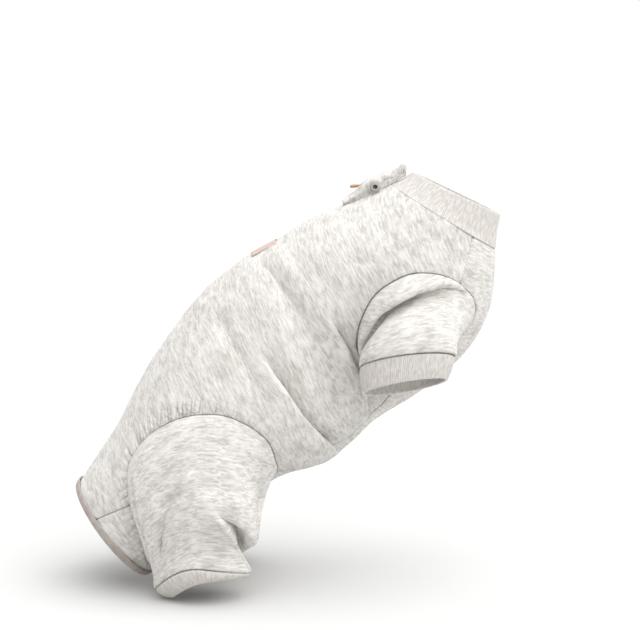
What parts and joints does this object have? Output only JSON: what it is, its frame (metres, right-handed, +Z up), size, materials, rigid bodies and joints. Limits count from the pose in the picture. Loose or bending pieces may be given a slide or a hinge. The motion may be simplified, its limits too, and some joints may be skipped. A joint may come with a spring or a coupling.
{
  "type": "cat bodysuit",
  "caption": "Sleeved cat bodysuit in heather fleece with ribbed collar and cuffs, bound rear opening, back patch and folded neck tab, held in its worn sitting form.",
  "frame": {"origin": "where the suit bears on the wearer's withers: the inner face of the cloth, in the middle of the back", "axes": "+X to the wearer's head, +Y to its left, +Z up; the suit sits as on a sitting wearer"},
  "size_m": [0.3284, 0.1678, 0.3241],
  "materials": {
    "heather_fleece": "brushed heather knit fleece, matt, soft nap",
    "rib_knit": "ribbed knit, matt",
    "binding_tape": "folded woven tape, matt",
    "patch_cloth": "plain woven patch, no print",
    "snap_stud": "grey moulded press stud with a dark socket",
    "tan_leather": "smooth tan leather"
  },
  "bodies": {
    "root": {"back_panel": "heather_fleece", "chest_belly_panel": "heather_fleece", "front_sleeve_right": "heather_fleece", "front_sleeve_left": "heather_fleece", "hind_leg_right": "heather_fleece", "hind_leg_left": "heather_fleece", "neck_tab": "heather_fleece", "front_cuff_right": "rib_knit", "front_cuff_left": "rib_knit", "hind_cuff_right": "rib_knit", "hind_cuff_left": "rib_knit", "collar": "rib_knit", "rear_binding": "binding_tape", "back_label": "patch_cloth", "tab_snap": "snap_stud", "leather_tip": "tan_leather"}
  },
  "joints": []
}
